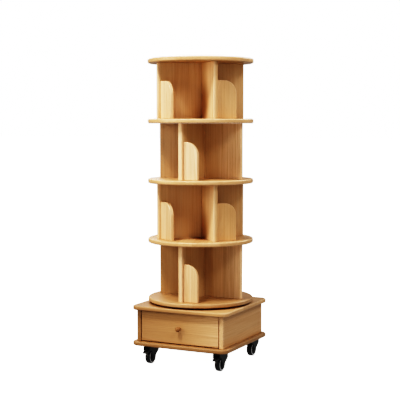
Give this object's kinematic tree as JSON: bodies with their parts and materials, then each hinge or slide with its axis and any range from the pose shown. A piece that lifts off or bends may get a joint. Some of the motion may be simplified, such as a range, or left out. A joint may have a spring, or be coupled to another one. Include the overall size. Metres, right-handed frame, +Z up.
{
  "type": "revolving bookcase",
  "caption": "Round tower of open shelves with upright dividers and low guards, turning on a ball bearing above a square drawer base with swivel casters.",
  "frame": {"origin": "on the floor, under the tower's axis", "axes": "+Z up along the tower's axis, -Y towards the drawer front, +X to the right of someone facing the drawer's back"},
  "size_m": [0.4496, 0.4496, 1.2965],
  "materials": {
    "shelf_wood": "light honey-coloured solid wood, clear satin varnish, rounded rims",
    "upright_wood": "light honey-coloured solid wood, clear satin varnish, upright grain",
    "guard_wood": "light honey-coloured solid wood, clear satin varnish, upright grain",
    "cabinet_wood": "light honey-coloured solid wood, clear satin varnish",
    "drawer_wood": "light honey-coloured solid wood, clear satin varnish, level grain",
    "knob_wood": "turned wood, clear satin varnish",
    "turntable_steel": "pressed steel, zinc plated",
    "caster_metal": "pressed steel, black enamel",
    "caster_plastic": "black moulded plastic, fine texture",
    "wheel_plastic": "black moulded plastic, smooth tread"
  },
  "bodies": {
    "base": {"base_bottom_slab": "cabinet_wood", "base_top_slab": "cabinet_wood", "base_left_side": "cabinet_wood", "base_right_side": "cabinet_wood", "base_back": "cabinet_wood", "turntable_lower_plate": "turntable_steel", "caster_front_left_plate": "caster_metal", "caster_front_right_plate": "caster_metal", "caster_back_left_plate": "caster_metal", "caster_back_right_plate": "caster_metal"},
    "tower": {"turntable_upper_plate": "turntable_steel", "turning_plate": "shelf_wood", "lower_shelf": "shelf_wood", "middle_shelf": "shelf_wood", "upper_shelf": "shelf_wood", "top_disc": "shelf_wood", "tier1_front_upright": "upright_wood", "tier1_right_upright": "upright_wood", "tier1_back_upright": "upright_wood", "tier1_left_upright": "upright_wood", "tier2_front_upright": "upright_wood", "tier2_right_upright": "upright_wood", "tier2_back_upright": "upright_wood", "tier2_left_upright": "upright_wood", "tier3_front_upright": "upright_wood", "tier3_right_upright": "upright_wood", "tier3_back_upright": "upright_wood", "tier3_left_upright": "upright_wood", "tier4_front_upright": "upright_wood", "tier4_right_upright": "upright_wood", "tier4_back_upright": "upright_wood", "tier4_left_upright": "upright_wood", "tier1_front_guard": "guard_wood", "tier3_front_guard": "guard_wood", "tier2_front_guard": "guard_wood", "tier2_right_guard": "guard_wood", "tier2_back_guard": "guard_wood", "tier2_left_guard": "guard_wood", "tier4_front_guard": "guard_wood", "tier4_right_guard": "guard_wood", "tier4_back_guard": "guard_wood", "tier4_left_guard": "guard_wood"},
    "bearing": {"ball_ring": "turntable_steel"},
    "drawer": {"drawer_front": "drawer_wood", "drawer_left_side": "drawer_wood", "drawer_right_side": "drawer_wood", "drawer_back": "drawer_wood", "drawer_bottom": "drawer_wood", "drawer_knob": "knob_wood"},
    "caster_front_left_swivel": {"caster_front_left_fork": "caster_plastic"},
    "caster_front_left_roller": {"caster_front_left_wheel": "wheel_plastic"},
    "caster_front_left_brake": {"caster_front_left_brake_pedal": "caster_plastic"},
    "caster_front_right_swivel": {"caster_front_right_fork": "caster_plastic"},
    "caster_front_right_roller": {"caster_front_right_wheel": "wheel_plastic"},
    "caster_front_right_brake": {"caster_front_right_brake_pedal": "caster_plastic"},
    "caster_back_left_swivel": {"caster_back_left_fork": "caster_plastic"},
    "caster_back_left_roller": {"caster_back_left_wheel": "wheel_plastic"},
    "caster_back_right_swivel": {"caster_back_right_fork": "caster_plastic"},
    "caster_back_right_roller": {"caster_back_right_wheel": "wheel_plastic"}
  },
  "joints": [
    {"name": "tower_spin", "type": "hinge", "parent": "base", "child": "tower", "pos_m": [0, 0, 0.2625], "axis": [0, 0, 1], "continuous": true},
    {"name": "bearing_spin", "type": "hinge", "parent": "base", "child": "bearing", "pos_m": [0, 0, 0.25875], "axis": [0, 0, 1], "continuous": true},
    {"name": "drawer_slide", "type": "slide", "parent": "base", "child": "drawer", "axis": [0, -1, 0], "range_m": [0, 0.26]},
    {"name": "caster_front_left_turn", "type": "hinge", "parent": "base", "child": "caster_front_left_swivel", "pos_m": [-0.164, -0.164, 0.077], "axis": [0, 0, 1], "continuous": true},
    {"name": "caster_front_left_roll", "type": "hinge", "parent": "caster_front_left_swivel", "child": "caster_front_left_roller", "pos_m": [-0.164, -0.152, 0.02981], "axis": [1, 0, 0], "continuous": true},
    {"name": "caster_front_left_brake_press", "type": "hinge", "parent": "caster_front_left_swivel", "child": "caster_front_left_brake", "pos_m": [-0.164, -0.178, 0.0634], "axis": [1, 0, 0], "range_deg": [0, 10]},
    {"name": "caster_front_right_turn", "type": "hinge", "parent": "base", "child": "caster_front_right_swivel", "pos_m": [0.164, -0.164, 0.077], "axis": [0, 0, 1], "continuous": true},
    {"name": "caster_front_right_roll", "type": "hinge", "parent": "caster_front_right_swivel", "child": "caster_front_right_roller", "pos_m": [0.164, -0.152, 0.02981], "axis": [1, 0, 0], "continuous": true},
    {"name": "caster_front_right_brake_press", "type": "hinge", "parent": "caster_front_right_swivel", "child": "caster_front_right_brake", "pos_m": [0.164, -0.178, 0.0634], "axis": [1, 0, 0], "range_deg": [0, 10]},
    {"name": "caster_back_left_turn", "type": "hinge", "parent": "base", "child": "caster_back_left_swivel", "pos_m": [-0.164, 0.164, 0.077], "axis": [0, 0, 1], "continuous": true},
    {"name": "caster_back_left_roll", "type": "hinge", "parent": "caster_back_left_swivel", "child": "caster_back_left_roller", "pos_m": [-0.164, 0.176, 0.02981], "axis": [1, 0, 0], "continuous": true},
    {"name": "caster_back_right_turn", "type": "hinge", "parent": "base", "child": "caster_back_right_swivel", "pos_m": [0.164, 0.164, 0.077], "axis": [0, 0, 1], "continuous": true},
    {"name": "caster_back_right_roll", "type": "hinge", "parent": "caster_back_right_swivel", "child": "caster_back_right_roller", "pos_m": [0.164, 0.176, 0.02981], "axis": [1, 0, 0], "continuous": true}
  ],
  "couplings": [
    {"joint": "bearing_spin", "follows": "tower_spin", "ratio": 0.5}
  ]
}
